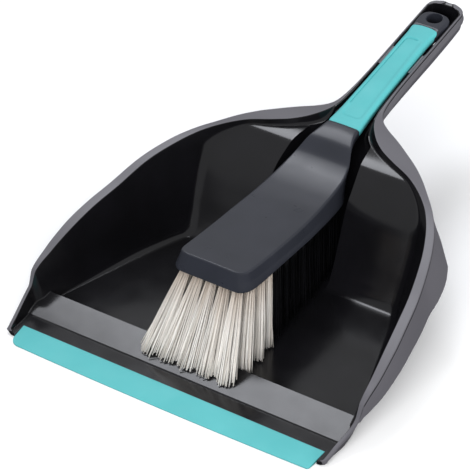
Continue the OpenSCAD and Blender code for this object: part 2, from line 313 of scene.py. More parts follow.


# %% [markdown]
# ## Finishes
#
# The pan is dark charcoal polypropylene, polished inside and matt outside; the matt outside is given a
# much lighter grey, which is painted sheen. The brush is the same plastic with a satin texture, the lip
# and the grip are soft turquoise rubber, the filaments are cream and black, and the wire that anchors
# them is steel. A moulding is never one flat colour: it has a slow change of tone, a faint grain from
# the mould and patches where it is polished by use. Noise textures in object coordinates give these at
# their real scale. One changes the tone, one the roughness and one the fine relief.

# %% helper for a moulded finish
def moulded(name, colour, second, roughness, spread, grain_mm, grain_depth, specular=0.5):
    """A plastic or rubber whose tone drifts between two colours, with a fine mould grain."""
    material = bpy.data.materials.new(name)
    material.use_nodes = True
    nodes, links = material.node_tree.nodes, material.node_tree.links
    shader = nodes["Principled BSDF"]
    shader.inputs["Specular IOR Level"].default_value = specular
    place = nodes.new("ShaderNodeTexCoord")
    tone = nodes.new("ShaderNodeTexNoise")
    tone.inputs["Scale"].default_value = 28
    tone.inputs["Detail"].default_value = 4
    colours = nodes.new("ShaderNodeValToRGB")
    colours.color_ramp.elements[0].position = 0.35
    colours.color_ramp.elements[1].position = 0.68
    colours.color_ramp.elements[0].color = (*colour, 1)
    colours.color_ramp.elements[1].color = (*second, 1)
    polish = nodes.new("ShaderNodeTexNoise")
    polish.inputs["Scale"].default_value = 75
    polish.inputs["Detail"].default_value = 5
    gloss = nodes.new("ShaderNodeMapRange")
    gloss.inputs["From Min"].default_value = 0.3
    gloss.inputs["From Max"].default_value = 0.7
    gloss.inputs["To Min"].default_value = roughness - spread
    gloss.inputs["To Max"].default_value = roughness + spread
    grain = nodes.new("ShaderNodeTexNoise")
    grain.inputs["Scale"].default_value = 1000 / grain_mm
    grain.inputs["Detail"].default_value = 2
    bump = nodes.new("ShaderNodeBump")
    bump.inputs["Strength"].default_value = 0.6
    bump.inputs["Distance"].default_value = grain_depth * MM
    for texture in (tone, polish, grain):
        links.new(place.outputs["Object"], texture.inputs["Vector"])
    links.new(tone.outputs["Fac"], colours.inputs["Fac"])
    links.new(colours.outputs["Color"], shader.inputs["Base Color"])
    links.new(polish.outputs["Fac"], gloss.inputs["Value"])
    links.new(gloss.outputs["Result"], shader.inputs["Roughness"])
    links.new(grain.outputs["Fac"], bump.inputs["Height"])
    links.new(bump.outputs["Normal"], shader.inputs["Normal"])
    return material


# %% helper for a moulding with a matt outside and a painted sheen
def matt_outside_painted_sheen(material, colour, roughness):
    """Faces marked as matt take a higher roughness, as where a mould is etched, and a much lighter grey, which is
    painted sheen.
    """
    nodes, links = material.node_tree.nodes, material.node_tree.links
    shader = nodes["Principled BSDF"]
    mark = nodes.new("ShaderNodeAttribute")
    mark.attribute_name = "matt_and_sheen"
    for socket, kind, value in (("Base Color", "RGBA", (*colour, 1)), ("Roughness", "FLOAT", roughness)):
        polished = shader.inputs[socket].links[0].from_socket
        choose = nodes.new("ShaderNodeMix")
        choose.data_type = kind
        choose.inputs["B"].default_value = value
        links.new(mark.outputs["Fac"], choose.inputs["Factor"])
        links.new(polished, choose.inputs["A"])
        links.new(choose.outputs["Result"], shader.inputs[socket])


# %% the two plastics and the rubber
charcoal = moulded("charcoal_plastic", (0.0045, 0.0044, 0.0052), (0.0065, 0.0063, 0.0078),
                   0.17, 0.025, 0.9, 0.003)
brush_plastic = moulded("brush_plastic", (0.020, 0.022, 0.029), (0.024, 0.026, 0.035),
                        0.3, 0.03, 0.5, 0.012, 0.4)
turquoise = moulded("turquoise_rubber", (0.085, 0.430, 0.445), (0.100, 0.465, 0.480),
                    0.55, 0.05, 0.6, 0.02, 0.35)
# The matt outside's lighter grey is painted sheen, standing in for the glare on rim and skirt; the higher roughness is
# the real etched finish.
matt_outside_painted_sheen(charcoal, (0.105, 0.102, 0.115), 0.42)
print("moulded finishes:", charcoal.name, brush_plastic.name, turquoise.name)

# %% [markdown]
# ## The pan's shape in numbers
#
# The rim is widest at the front, narrows to the shoulders and runs on as the two sides of the handle's
# trough. Its height climbs from the lip to the end of the handle. A skirt hangs from the rim along the
# sides and stiffens it. Behind the lip the floor has a dark flat land, a ramp that rises to a crest,
# and then the collecting floor, which lies low so that dust can't roll out.

# %% rim and skirt
rim_inner = [(-10, 113), (-8, 115), (0, 116.3), (20, 119.4), (40, 117.8), (60, 115.2), (80, 112.1),
             (100, 108.2), (125, 101.8), (145, 93.8), (160, 85), (170, 75.8), (180, 61.5), (187, 45),
             (193, 33.5), (201, 24.3), (212, 16.7), (217, 14.9), (225, 13.6), (240, 12.8), (270, 12.4),
             (331, 12.3), (335, 9.6), (337, 4.5), (340, 2.5)]
rim_outer = [(-10, 115), (-8, 117), (0, 118.7), (20, 121.8), (28, 122.8), (40, 123), (60, 121.8),
             (80, 118.8), (100, 114.8), (125, 108), (145, 100), (160, 91), (175, 78), (190, 62),
             (200, 48), (208, 35.8), (213, 27), (217, 21.4), (221, 17.9), (226, 16), (235, 14.7),
             (250, 13.9), (270, 13.6), (331, 13.5), (335, 12.8), (338, 10), (340, 5)]
rim_height = [(-10, 3.2), (0, 7.6), (20, 16.8), (25, 26.2), (40, 33), (60, 40.9), (80, 47), (100, 51.6),
              (125, 60), (150, 66.6), (170, 72.4), (187, 78.4), (200, 81.3), (225, 85.4), (331, 102.8),
              (340, 104.3)]
rim_drop = [(150, 0), (165, 0.7), (181, 2.1), (190, 2.6), (208, 2.5), (216, 1.8), (226, 0.3), (235, 0)]
skirt_height = [(-10, 0.8), (19, 0.8), (23, 7), (27, 9.6), (60, 15), (115, 21), (140, 22), (148, 21.5),
                (151, 18), (155, 10), (158, 5.4), (162, 3.8), (222, 3.8), (232, 6), (340, 5.6)]
skirt_flare = [(-10, 0.15), (20, 0.2), (27, 1.6), (60, 4), (108, 5.2), (124, 8.4), (140, 10),
               (148, 9.8), (151, 7.8), (155, 4.4), (158, 1.7), (162, 0.5), (215, 0.4), (232, 1.8),
               (325, 1.8), (340, 0.5)]

# %% floor, back wall and trough
WALL = 2.2
FLOOR = 2.4
CREST = 30.8
DRAFT = 0.28
apron = [(-10, FLOOR), (10.2, FLOOR), (10.7, 3.2), (CREST, 8.8), (32.8, 2.7), (36, FLOOR)]
side_floor = apron + [(134, FLOOR), (139, 5), (144, 13.5), (150, 29), (161, 56), (163, 58.5),
                      (172, 66.5), (182, 73), (190, 74.6), (204, 76.2), (216, 84), (340, 200)]
deep_floor = apron + [(158, FLOOR), (165, 6), (172, 16), (180, 36), (188, 54), (196, 62), (206, 67.8),
                      (331, 88.3), (334, 91.1), (336, 96), (337, 103), (340, 104)]
recess_width = [(-10, 28.5), (161, 28.5), (180, 26), (196, 23.5), (206, 22), (340, 22)]
recess_corner = [(150, 6), (180, 5), (215, 2.6), (340, 2.6)]
fillet_size = [(-10, 0.5), (33, 0.7), (60, 2.5), (110, 6), (340, 6)]


def ground(pairs, y):
    return straight(pairs, y) if y < 36 else curve(pairs, y)


def shore(y):
    return min(ground(side_floor, y), curve(rim_height, y) - 0.3)


def deep(y):
    return min(ground(deep_floor, y), shore(y))


def fillet(y):
    return min(curve(fillet_size, y), 0.42 * (curve(rim_height, y) - shore(y)))


def foot(y):
    return curve(rim_inner, y) - DRAFT * (curve(rim_height, y) - shore(y))


def recess_half(y):
    return min(curve(recess_width, y), foot(y) - fillet(y) - 0.3)


def arch(share, power):
    return 1 - (1 - min(1, share) ** power) ** (1 / power)


def inner_height(x, y):
    """Height of the pan's inside, on which dust lies and near which the bristles end."""
    share = abs(x) / recess_half(y)
    return deep(y) + (shore(y) - deep(y)) * arch(share, curve(recess_corner, y))


def below(pairs, y):
    slope = curve(pairs, y + 0.5) - curve(pairs, y - 0.5)
    c = 1 / math.hypot(1, slope)
    return max(0, curve(pairs, y - WALL * slope * c) - FLOOR * c)


# %% [markdown]
# ## One slice of the pan
#
# A slice goes from the middle of the floor, up the inner wall, over the rim, down the skirt, round its
# hollow, and back under the floor. Three details make it read as a moulding: the small radii on the
# rim's two edges, which catch a thin line of light, the fine groove between rim and skirt, whose faces
# take the dark polished colour as painted shade, and the rounded lower edge of the skirt.

# %% the slice
RECESS_SHARES = [0, 0.2, 0.4, 0.55, 0.68, 0.78, 0.86, 0.92, 0.96, 0.985, 1]


def pan_slice(y):
    xi, z = curve(rim_inner, y), curve(rim_height, y)
    xo = max(xi + 1.1, curve(rim_outer, y))
    zo = z - curve(rim_drop, y)
    side, middle, f, x_foot, w = shore(y), deep(y), fillet(y), foot(y), recess_half(y)
    power = curve(recess_corner, y)
    in_wall = WALL * (stretch(rim_inner, y) if y < 326 else 1)
    out_wall = WALL * stretch(rim_outer, y)
    hang = curve(skirt_height, y)
    skirt_z = zo - hang
    pocket_in = xi + in_wall + 0.1
    pocket_out = max(pocket_in + 0.05, xo - out_wall)
    skirt_x = max(pocket_in + 0.5, xo + curve(skirt_flare, y) * stretch(rim_outer, y))
    hollow = max(0.15, min(zo - FLOOR - skirt_z, 8 * (pocket_out - pocket_in)))
    roof = skirt_z + hollow + (0.6 * (z - zo) if hollow > 0.2 else 0)
    edge = min(0.55, 0.35 * (xo - xi))
    groove = ease(2, 6, hang) * ease(16, 26, y)
    down = (skirt_x - xo) / hang
    cut = min(1.0, 0.6 * (xo - xi)) * groove
    top = (x_foot + DRAFT * f, side + f)
    under_top = (top[0] + in_wall, min(top[1], roof - 0.4))
    w_under = w + WALL * stretch(recess_width, y)
    under_side = (max(x_foot - f, w_under + 0.2), min(below(side_floor, y), under_top[1] - 0.4))
    under_middle = min(below(deep_floor, y), under_side[1])
    floor = [(s * w, middle + (side - middle) * arch(s, power)) for s in RECESS_SHARES]
    wall = bend((x_foot - f, side), (x_foot, side), top, 5)
    rim = bend((xi - DRAFT * edge, z - edge), (xi, z), (xi + edge, z - edge * (z - zo) / (xo - xi)), 3)
    rim += bend((xo - edge, zo + edge * (z - zo) / (xo - xi)), (xo, zo), (xo + 0.1 * down, zo - edge), 3)
    lip = 0.2 + 0.9 * groove
    skirt = [(xo + 0.1 * down, zo - edge - 0.35 * lip), (xo - cut, zo - edge - 0.6 * lip),
             (xo - cut, zo - edge - 0.9 * lip), (xo + 0.25 * down, zo - edge - 1.3 * lip)]
    room = max(0.05, min(0.7, 0.3 * hang))
    base = (skirt_x, min(skirt_z, skirt[-1][1] - room - 0.05))
    inner_x = max(pocket_in + 0.1, skirt_x - out_wall)
    skirt += bend((base[0] - down * room, base[1] + room), base, (0.5 * (base[0] + inner_x), base[1]), 3)
    pocket = [(inner_x, base[1] + 0.05), (pocket_out, base[1] + hollow),
              (pocket_in, max(roof, base[1] + hollow))]
    back = bend(under_top, (under_top[0] - 0.3, under_side[1]), under_side, 4)
    under = [(s * w_under, under_middle + (under_side[1] - under_middle) * arch(s, power))
             for s in reversed(RECESS_SHARES)]
    return [(x, y, h) for x, h in floor + wall + rim + skirt + pocket + back + under]


pan_marks = [-10, -9, -7, -4, 0, 5, 9.9, 10.2, 10.7, 11, 16, 19, 21, 22.5, 24, 26, 28, 30.4, CREST,
             31.2, 32.4, 32.8, 33.4, 36, 60, 100, 134, 150, 158, 163, 180, 206, 226, 326, 331, 334,
             336, 338, 339.2, 340]
pan_stations = [round(y, 4) for y in steps_between(pan_marks, 1.6)]
rings = [mirrored(pan_slice(y)) for y in pan_stations]
vertices, faces = loft(rings)
pan = new_object("pan", vertices, faces, charcoal)
tidy_normals(pan)
print("pan slices:", len(rings), "points in each:", len(rings[0]))

# %% [markdown]
# ## Lip seat, hang hole, boss and stops
#
# The soft lip sits in a straight cut between two small ears. The handle's floor has a round hang hole
# with a thicker boss around it, and two low stops grow out of the trough's walls and keep the brush
# from falling out. Cuts and additions like these are made with exact booleans, as a mould maker adds
# inserts to a tool.

# %% cylinders and blocks for the booleans
HANG_Y = 319
TILT = math.radians(9.4)
HANG_RADIUS = 5.2
SEAT = 111.4


def turned(profile, origin, sides=64):
    """A solid of revolution about the tilted hang axis, from (radius, height) pairs."""
    turn = Matrix.Rotation(TILT, 3, "X")
    rings = [[tuple(Vector(origin) + turn @ Vector((r * math.cos(2 * math.pi * k / sides),
                                                   r * math.sin(2 * math.pi * k / sides), h)))
              for k in range(sides)] for r, h in profile]
    return loft(rings)


def block(centre, size, round_by, tilt=0.0):
    bm = bmesh.new()
    bmesh.ops.create_cube(bm, size=1)
    for v in bm.verts:
        v.co = Vector(a * b for a, b in zip(v.co, size))
    bmesh.ops.bevel(bm, geom=bm.edges[:], offset=round_by, segments=3, affect="EDGES", profile=0.5)
    turn = Matrix.Rotation(tilt, 3, "X")
    points = [tuple(turn @ v.co + Vector(centre)) for v in bm.verts]
    cells = [tuple(v.index for v in f.verts) for f in bm.faces]
    bm.free()
    return points, cells


def merged(*parts):
    vertices, faces = [], []
    for points, cells in parts:
        base = len(vertices)
        vertices += points
        faces += [tuple(base + k for k in cell) for cell in cells]
    return vertices, faces


# %% cut and add
STOP_Y = 275.5
trough_z = curve(deep_floor, HANG_Y)
stop_inner = 10.35
stop_outer = curve(rim_inner, STOP_Y) + 0.5
stop_z = curve(rim_height, STOP_Y) - 2.9
additions = [turned([(7, -4.6), (9, -2.8), (9, 0.3)], (0, HANG_Y, trough_z))]
for side in (-1, 1):
    middle = side * (stop_inner + stop_outer) / 2
    additions.append(block((middle, STOP_Y, stop_z), (stop_outer - stop_inner, 20, 4.8), 0.4, TILT))
combine(pan, new_object("additions", *merged(*additions), charcoal), "UNION")
hole = turned([(HANG_RADIUS + 0.8, 6), (HANG_RADIUS + 0.8, 0.9), (HANG_RADIUS, 0), (HANG_RADIUS, -4.1),
               (HANG_RADIUS + 0.6, -4.7), (HANG_RADIUS + 0.6, -12)], (0, HANG_Y, trough_z))
seat = block((0, -11, 3.5), (2 * SEAT, 22, 13), 0.3)
combine(pan, new_object("cuts", *merged(hole, seat), charcoal), "DIFFERENCE")
tidy_normals(pan)

# %% polished inside, matt outside with a painted sheen, groove in painted shade
# Faces marked 1 take the matt outside's lighter grey, which is painted sheen, and its higher roughness.
matt_and_sheen = pan.data.attributes.new("matt_and_sheen", "FLOAT", "FACE")
for face, mark in zip(pan.data.polygons, matt_and_sheen.data):
    x, y, z = face.center / MM
    y += SHIFT / MM
    drop = curve(rim_height, y) - z
    inside = abs(x) < curve(rim_inner, y) - DRAFT * drop + 0.3 and z > inner_height(x, y) - 1
    if y > 329 and drop > 0.5:
        inside = face.normal.y < 0.1 and abs(x) < 12.4
    # The stops' tops take the same painted sheen as the rim.
    on_stop = abs(y - STOP_Y) < 10.5 and drop < 1.2 and abs(x) < 12.3
    # Groove faces keep the dark polished colour: painted shade in the crease between rim and skirt.
    groove_in_painted_shade = 0.5 < drop - curve(rim_drop, y) < 1.8 and abs(x) < curve(rim_outer, y) - 0.15
    mark.value = 0 if (inside and not on_stop) or groove_in_painted_shade else 1
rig.ride(pan, "dustpan")
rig.replaces(pan, "pan_body")
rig.slot(pan, "charcoal_plastic")
print("pan faces after the cuts:", len(pan.data.polygons))

# %% [markdown]
# ## The soft lip
#
# The lip is a thin rubber wedge that bends flat against the floor so that dust rides over it. It is
# thick where the pan grips it and fine at its front edge, which is bowed a little and rounded at both
# ends. The outline is drawn once and stacked in a few layers, each a little smaller, so every edge is
# softly rounded.

# %% lip
LIP_LENGTH, LIP_BACK, LIP_BOW = 18.0, 2.4, 1.5


def lip_outline(inset):
    half = SEAT - 0.1 - inset
    front = [(x, -LIP_LENGTH + LIP_BOW / 2 - LIP_BOW * (1 - (x / SEAT) ** 2) + inset)
             for x in [half - 3 - k * (2 * half - 12) / 40 for k in range(41)]]
    left = [(-half + 8 - 7 * math.sin(a), front[-1][1] + 7 - 7 * math.cos(a))
            for a in [math.radians(9 * k) for k in range(1, 11)]]
    right = [(half - 3 + 2 * math.cos(a), front[0][1] + 2 - 2 * math.sin(a))
             for a in [math.radians(15 * k) for k in range(0, 6)]]
    back = [(-half, -0.1 - inset), (half, -0.1 - inset)]
    return right + front + left + back


def lip_top(y):
    return straight([(-19.5, 0.75), (-16, 1.25), (0, LIP_BACK)], y)


layers = []
for inset, lift in ((0.25, 0.0), (0.05, 0.12), (0.0, 0.3)):
    layers.append([(x, y, lift) for x, y in lip_outline(inset)])
for inset, drop in ((0.0, 0.25), (0.08, 0.08), (0.3, 0.0)):
    layers.append([(x, y, max(0.4, lip_top(y) - drop)) for x, y in lip_outline(inset)])
lip_piece = new_object("soft_lip", *loft(layers), turquoise)
tidy_normals(lip_piece, 50)
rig.ride(lip_piece, "dustpan")
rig.replaces(lip_piece, "lip_strip")
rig.slot(lip_piece, "turquoise_rubber")
print("lip is", round(2 * SEAT, 1), "mm wide")

# %% [markdown]
# ## The brush body
#
# The brush is one moulding too: a broad head with a slightly hollow back, a waisted neck that climbs,
# and a slim handle. Its section is a rounded rectangle that changes along its length. The head's front
# face leans out towards the bristles, so each ring near the front is tilted a little.

# %% brush numbers
HEAD_TOP = 68.3
GRIP_FROM, GRIP_TO, GRIP_SIDE, GRIP_THICK = 201, 308, 6.0, 1.6
top_width = [(45.3, 15), (45.8, 18.8), (47, 21.4), (49, 23.2), (52, 24), (60, 24.3), (100, 24.3),
             (140, 23.1), (165, 21.9), (176, 20), (186, 16), (195, 13.4), (203, 12.6), (220, 11.2),
             (253, 10.1), (297, 9.7), (310, 11), (318, 11.5), (321.5, 10.6), (324, 8), (325.5, 3.5)]
bottom_width = [(45.3, 16), (45.8, 21), (47, 24), (49, 26.2), (52, 27.6), (56, 28.3), (62, 28.6),
                (110, 28.6), (140, 27.4), (160, 25.2), (168, 22), (176, 17.2), (186, 13.4), (203, 10.2),
                (253, 8.4), (297, 8), (318, 9.4), (321.5, 8.8), (324, 6.6), (325.5, 3)]
top_height = [(45.3, 68.3), (62, 66.4), (80, 65), (100, 63.9), (127, 63.3), (145, 64), (164, 66.4),
              (176, 70.6), (186, 78.3), (195, 81.4), (203, 82.4), (236, 89), (271, 95.7), (297, 100.3),
              (318, 102.6), (325.5, 103.4)]
top_radius = [(45.3, 1.2), (180, 1.6), (205, 3.4), (318, 3), (325.5, 2)]
bottom_radius = [(45.3, 1), (168, 1.2), (186, 5), (203, 5.5), (318, 5), (323, 4), (325.5, 2)]


def head_under(y):
    return 55.7 - 0.03 * (y - 42.5)


handle_under = [(166, head_under(166)), (174, 52.6), (182, 58), (190, 66), (197, 69.4), (205, 71.2),
                (271, 83.4), (297, 88.6), (318, 92.2), (325.5, 93.4)]


def brush_under(y):
    return head_under(y) if y < 166 else curve(handle_under, y)


def front_lean(y):
    return 0.27 * max(0, 1 - (y - 45.3) / 25)


def end_round(y):
    """How much a ring shrinks close to either end, so that the end's edges are rounded."""
    near = min((y - 45.3) / 0.9, (325.5 - y) / 1.4)
    return 0 if near >= 1 else 0.9 * (1 - math.sqrt(max(0, 1 - (1 - near) ** 2)))


# %% brush rings
def brush_slice(y, inset):
    """Right half of a section, top middle to bottom middle. inset(k) sinks the upper outline."""
    shrink = end_round(y)
    wt, wb = curve(top_width, y) - shrink, curve(bottom_width, y) - shrink
    zt, zb = curve(top_height, y) - shrink, brush_under(y) + shrink
    rt, rb = min(curve(top_radius, y), wt * 0.6), min(curve(bottom_radius, y), wb * 0.6)
    split = zt - GRIP_SIDE
    share = (split - zb) / (zt - zb)
    xs = wb + (wt - wb) * share
    corner_dx = (wt - xs) / GRIP_SIDE
    top = [((wt - rt) * k / 8, zt + 0.25 * (1 - (k / 8) ** 2), 0, 1) for k in range(8)]
    corner = []
    for x, z in bend((wt - rt, zt), (wt, zt), (wt - corner_dx * rt, zt - rt), 6):
        t = len(corner) / 6
        corner.append((x, z, math.sin(t * math.pi / 2), math.cos(t * math.pi / 2)))
    flank = [(wt - corner_dx * d, zt - d, 1, 0) for d in (rt + (GRIP_SIDE - rt) * k / 5 for k in range(1, 6))]
    upper = top + corner + flank
    half = []
    for k, (x, z, nx, nz) in enumerate(upper):
        sink = inset(k / (len(upper) - 1), y)
        half.append((x - nx * sink, z - nz * sink))
    lower = [(xs + (wb - xs) * t, split + (zb + rb - split) * t) for t in (0.1, 0.5)]
    lower += bend((wb, zb + rb), (wb, zb), (wb - rb, zb), 5)
    lower += [((wb - rb) * (1 - k / 5), zb) for k in range(1, 6)]
    lean = front_lean(y)
    return [(x, y + lean * (z - HEAD_TOP), z) for x, z in half + lower]


GRIP_END_CURVE, GRIP_START_CURVE = 5.5, 1.6


def grip_start(u):
    return GRIP_FROM + GRIP_START_CURVE * max(0, (u - 0.55) / 0.45) ** 3


def grip_end(u):
    return GRIP_TO - GRIP_END_CURVE * (1 - math.sqrt(max(0, 1 - min(1, u / 0.72) ** 2.6)))


def handle_sink(u, y):
    inside = min(y - grip_start(u), grip_end(u) - y)
    return GRIP_THICK * ease(0.15, 1.1, inside)


brush_marks = [45.3, 45.4, 45.6, 45.9, 46.2, 47, 49, 52, 56, 62, 100, 166, 200, 201.2, 202, 206, 211, 298]
brush_marks += [303, 306.5, 308.2, 314, 318, 321.5, 323.5, 324.2, 324.7, 325.1, 325.35, 325.5]
brush_stations = steps_between(brush_marks, 1.8)
rings = [mirrored(brush_slice(y, handle_sink)) for y in brush_stations]
brush = new_object("brush_body_piece", *loft(rings), brush_plastic)
tidy_normals(brush)
print("brush slices:", len(rings))

# %% [markdown]
# ## Tuft holes and the hang hole
#
# Each tuft is folded over a small steel anchor and pressed into a blind hole. The front row has five
# tufts and every other row six, a little apart, so the filaments can spread. The same boolean cuts all
# the holes and the hang hole, whose edges are eased so that they don't cut the hand.

# %% tuft pattern
CREAM_ROWS, BLACK_ROWS = 4, 9
HOLE_RADIUS, HOLE_DEPTH = 2.4, 8.0


def row_y(row):
    return 48 + 9.45 * (row - 1)


def roots(row):
    count = 5 if row == 1 else 6
    half = 18.8 if row == 1 else curve(bottom_width, row_y(row)) - 6.8
    return [half * (2 * k / (count - 1) - 1) for k in range(count)]


# %% cut the holes
drills = []
for row in range(1, CREAM_ROWS + BLACK_ROWS + 1):
    y, z = row_y(row), head_under(row_y(row))
    for x in roots(row):
        ring = [(x + math.cos(math.tau * k / 24), y + math.sin(math.tau * k / 24)) for k in range(24)]
        levels = [(HOLE_RADIUS + 0.5, z - 1), (HOLE_RADIUS + 0.5, z), (HOLE_RADIUS, z + 0.5),
                  (HOLE_RADIUS, z + HOLE_DEPTH)]
        drills.append(loft([[(x + (px - x) * r, y + (py - y) * r, h) for px, py in ring] for r, h in levels]))
bore_profile = [(HANG_RADIUS + 0.9, 4), (HANG_RADIUS + 0.9, 0.35), (HANG_RADIUS + 0.3, -0.3),
                (HANG_RADIUS, -1), (HANG_RADIUS, -9.4), (HANG_RADIUS + 0.8, -10.3), (HANG_RADIUS + 0.8, -30)]
bore = turned(bore_profile, (0, HANG_Y, curve(top_height, HANG_Y)))
combine(brush, new_object("drills", *merged(bore, *drills), brush_plastic), "DIFFERENCE")
tidy_normals(brush)
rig.ride(brush, "brush")
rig.replaces(brush, "brush_body")
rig.slot(brush, "brush_plastic")
print("tuft holes:", len(drills))

# %% [markdown]
# ## The grip
#
# The grip is soft rubber moulded over the handle. Its far end is a shallow arc with rounded corners and
# its near end rises as a short slope. A thumb panel is sunk into its back, with a crisp step on one
# side and a soft one on the other. It is a sheet with its own grid: each row follows the handle's
# section, and each column starts and stops where the two ends say.

# %% grip surface
GRIP_LENGTH = GRIP_TO - GRIP_FROM
OUTLINE_STEPS = 18
PROUD = 0.12
PANEL_FROM, PANEL_TO, PANEL_DEEP = 209.0, 293.5, 0.5


def panel_depth(x, y):
    half = straight([(209, 8.2), (294, 6.3)], y)
    along_panel, across = min(y - PANEL_FROM, PANEL_TO - y), half - abs(x)
    corner = 3.2 if y > 250 else 5.0
    inside = min(along_panel, across)
    if along_panel < corner and across < corner:
        inside = corner - math.hypot(corner - along_panel, corner - across)
    crisp = x < 0 or (y > 285 and x < 2.5)
    width = 0.55 if crisp and y > 222 else 2.4
    line = 0.7 * math.exp(-((inside - 0.3) / 0.4) ** 2) if crisp and y > 222 else 0
    return PANEL_DEEP * ease(-0.1, width, inside) + line


def not_sunk(share, y):
    return 0


def grip_point(column, count, y, sink):
    """A point on the handle's upper outline: column 0 is the left edge and the last is the right."""
    u = 2 * column / (count - 1) - 1
    outline = brush_slice(y, not_sunk)[:OUTLINE_STEPS + 1]
    where = abs(u) * OUTLINE_STEPS
    i = min(OUTLINE_STEPS - 1, int(where))
    t = where - i
    (x0, _, z0), (x1, _, z1) = outline[i], outline[i + 1]
    x, z = x0 + (x1 - x0) * t, z0 + (z1 - z0) * t
    (xa, _, za), (xb, _, zb) = outline[max(0, i - 1)], outline[min(OUTLINE_STEPS, i + 2)]
    length = math.hypot(xb - xa, zb - za)
    nx, nz = -(zb - za) / length, (xb - xa) / length
    if i == 0:
        nx, nz = nx * where, 1
    return ((x - nx * sink) * (1 if u >= 0 else -1), y, z - nz * sink)


# %% grip mesh
COLUMNS, ROWS = 121, 200
NEAR_FACE = 0.8
EDGE_ROUND, EDGE_REACH = 0.55, 0.7
# Turns the share of the way from a side edge into roughly millimetres.
SIDE_SCALE = 18
PANEL_ABOVE = 80
outer, inner = [], []
for j in range(ROWS + 1):
    t = j / ROWS
    for i in range(COLUMNS):
        u = abs(2 * i / (COLUMNS - 1) - 1)
        y = grip_start(u) + (grip_end(u) - grip_start(u)) * t
        x, _, z = grip_point(i, COLUMNS, y, 0)
        edge = min(t * GRIP_LENGTH, (1 - t) * GRIP_LENGTH, (1 - u) * SIDE_SCALE)
        round_down = EDGE_ROUND * (1 - math.sqrt(max(0, 1 - (1 - min(1, edge / EDGE_REACH)) ** 2)))
        round_down += NEAR_FACE * (1 - ease(0.5, 3.6, t * GRIP_LENGTH)) * (1 - u ** 4)
        sunk = panel_depth(x, y) if z > PANEL_ABOVE else 0
        outer.append(grip_point(i, COLUMNS, y, round_down - PROUD + sunk))
        inner.append(grip_point(i, COLUMNS, y, GRIP_THICK - 0.02))
count = len(outer)
faces = []
for j in range(ROWS):
    for i in range(COLUMNS - 1):
        a = j * COLUMNS + i
        faces.append((a, a + 1, a + COLUMNS + 1, a + COLUMNS))
        faces.append((count + a, count + a + COLUMNS, count + a + COLUMNS + 1, count + a + 1))
for j in range(ROWS):
    for i in (0, COLUMNS - 1):
        a, b = j * COLUMNS + i, (j + 1) * COLUMNS + i
        faces.append((a, b, b + count, a + count))
for i in range(COLUMNS - 1):
    for j in (0, ROWS):
        a = j * COLUMNS + i
        faces.append((a, a + 1, a + 1 + count, a + count))
grip = new_object("soft_grip", outer + inner, faces, turquoise)
tidy_normals(grip, 50)
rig.ride(grip, "brush")
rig.replaces(grip, "grip_pad")
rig.slot(grip, "turquoise_rubber")
print("grip faces:", len(grip.data.polygons))

# %% [markdown]
# ## Bristles
#
# A real tuft is a bundle of some dozens of straight nylon filaments. They leave the hole side by side,
# spread towards their tips, cross each other a little and are all cut off at one level. Hair curves
# would look right but don't export, so each filament is a thin three-sided tube with a slight bow.
# A fixed seed keeps the bundle the same on each run. Two numbers are stored on every point: a shade for
# the filament and how far along it the point is. The finish reads them to vary the colour; the darker
# colour near the root is painted shade among the packed filaments under the head.

# %% filament finish
def filament_finish(name, root, tip, light, roughness, sheen):
    material = bpy.data.materials.new(name)
    material.use_nodes = True
    nodes, links = material.node_tree.nodes, material.node_tree.links
    shader = nodes["Principled BSDF"]
    shader.inputs["Roughness"].default_value = roughness
    shader.inputs["Specular IOR Level"].default_value = sheen
    marks = nodes.new("ShaderNodeAttribute")
    marks.attribute_name = "filament"
    parts = nodes.new("ShaderNodeSeparateColor")
    root_shade_ramp = nodes.new("ShaderNodeValToRGB")
    # The root colour is darker as painted shade among the filaments near the head; the tip colour is the filament's
    # own.
    root_shade_ramp.color_ramp.elements[0].color = (*root, 1)
    root_shade_ramp.color_ramp.elements[1].color = (*tip, 1)
    root_shade_ramp.color_ramp.elements[1].position = 0.45
    vary = nodes.new("ShaderNodeMix")
    vary.data_type = "RGBA"
    vary.blend_type = "MULTIPLY"
    vary.inputs["Factor"].default_value = 1
    shade = nodes.new("ShaderNodeValToRGB")
    shade.color_ramp.elements[0].color = (light, light * 0.96, light * 0.91, 1)
    shade.color_ramp.elements[1].color = (1, 1, 1, 1)
    links.new(marks.outputs["Color"], parts.inputs["Color"])
    links.new(parts.outputs["Green"], root_shade_ramp.inputs["Fac"])
    links.new(parts.outputs["Red"], shade.inputs["Fac"])
    links.new(root_shade_ramp.outputs["Color"], vary.inputs["A"])
    links.new(shade.outputs["Color"], vary.inputs["B"])
    links.new(vary.outputs["Result"], shader.inputs["Base Color"])
    return material


# The first colour of each is the painted root shade, the second the filament's own colour.
cream = filament_finish("cream_bristle", (0.58, 0.50, 0.43), (0.93, 0.905, 0.87), 0.72, 0.45, 0.4)
black = filament_finish("black_bristle", (0.004, 0.004, 0.005), (0.009, 0.009, 0.011), 0.3, 0.35, 0.5)

# %% one filament and one row
SEGMENTS = 6
GOLDEN_TURN = 2.39996
tip_spread = [(1, 7.4), (2, 6.6), (4, 5.6), (9, 4.4), (13, 3.6)]


def filament(start, end, radius, bow, shade, store):
    """Adds one thin tube to the store, which holds vertices, faces and two marks for each vertex."""
    vertices, faces, marks = store
    base = len(vertices)
    axis = Vector(end) - Vector(start)
    across = axis.cross(Vector((0.3, 1, 0.1))).normalized()
    up = axis.cross(across).normalized()
    for k in range(SEGMENTS + 1):
        t = k / SEGMENTS
        middle = Vector(start) + axis * t + (across * bow[0] + up * bow[1]) * math.sin(math.pi * t)
        for side in range(3):
            a = math.tau * side / 3 + shade * 6
            vertices.append(tuple(middle + (across * math.cos(a) + up * math.sin(a)) * radius))
            marks.append((shade, t))
    for k in range(SEGMENTS):
        for side in range(3):
            a, b = base + 3 * k + side, base + 3 * k + (side + 1) % 3
            faces.append((a, b, b + 3, a + 3))
    last = base + 3 * SEGMENTS
    faces.append((base + 2, base + 1, base))
    faces.append((last, last + 1, last + 2))


